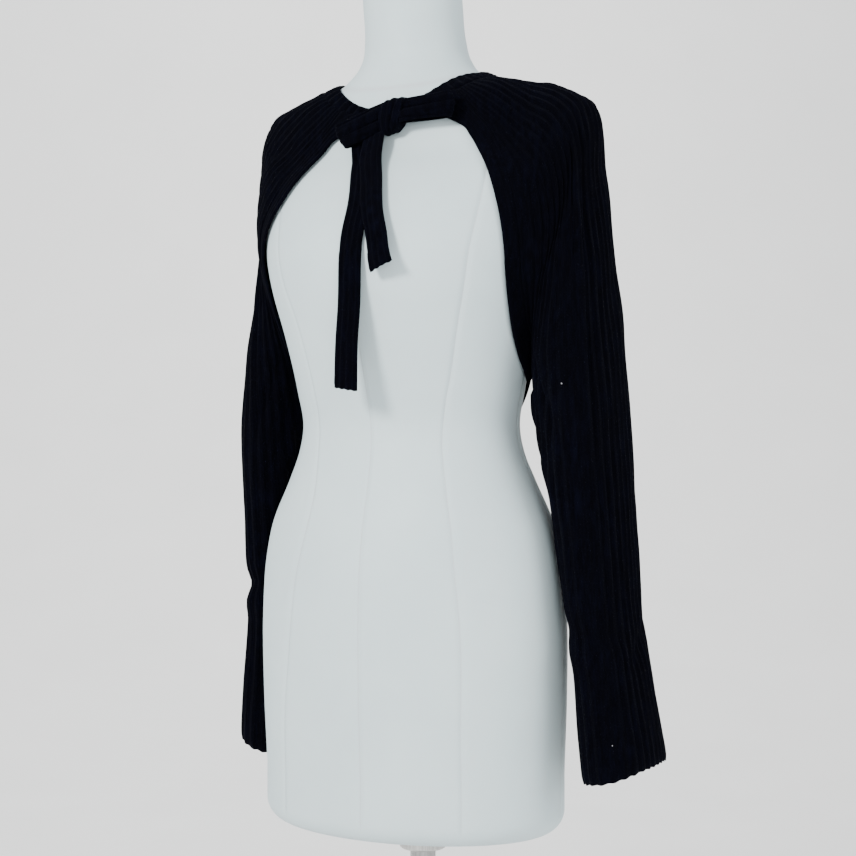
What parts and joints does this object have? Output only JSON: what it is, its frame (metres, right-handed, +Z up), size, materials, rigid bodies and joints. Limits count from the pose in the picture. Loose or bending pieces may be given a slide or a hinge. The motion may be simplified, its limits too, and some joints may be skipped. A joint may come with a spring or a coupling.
{
  "type": "cropped cardigan on a dress form",
  "caption": "Cropped open-front rib-knit cardigan with long hanging sleeves, tied at the neck with a bow, on a limbless dress form with a pole and a round base.",
  "frame": {"origin": "centre of the base's underside, on the floor", "axes": "+Z up along the pole, -Y the way the form faces, +X the wearer's left"},
  "size_m": [0.4858, 0.3266, 1.5123],
  "materials": {
    "knit": "soft black rib knit with a faint fuzz",
    "form_cover": "matt, pale cool white, lightly scuffed",
    "stand_metal": "satin"
  },
  "bodies": {
    "root": {"sleeve_left": "knit", "sleeve_right": "knit", "back_panel": "knit", "back_hem_band": "knit", "front_band_left": "knit", "front_band_right": "knit", "neckband": "knit", "bow_knot": "knit", "bow_loop_left": "knit", "bow_loop_right": "knit", "tie_tail_long": "knit", "tie_tail_short": "knit", "form_torso": "form_cover", "form_neck_cap": "form_cover", "stand_base": "stand_metal", "stand_collar": "stand_metal", "stand_pole": "stand_metal"}
  },
  "joints": []
}
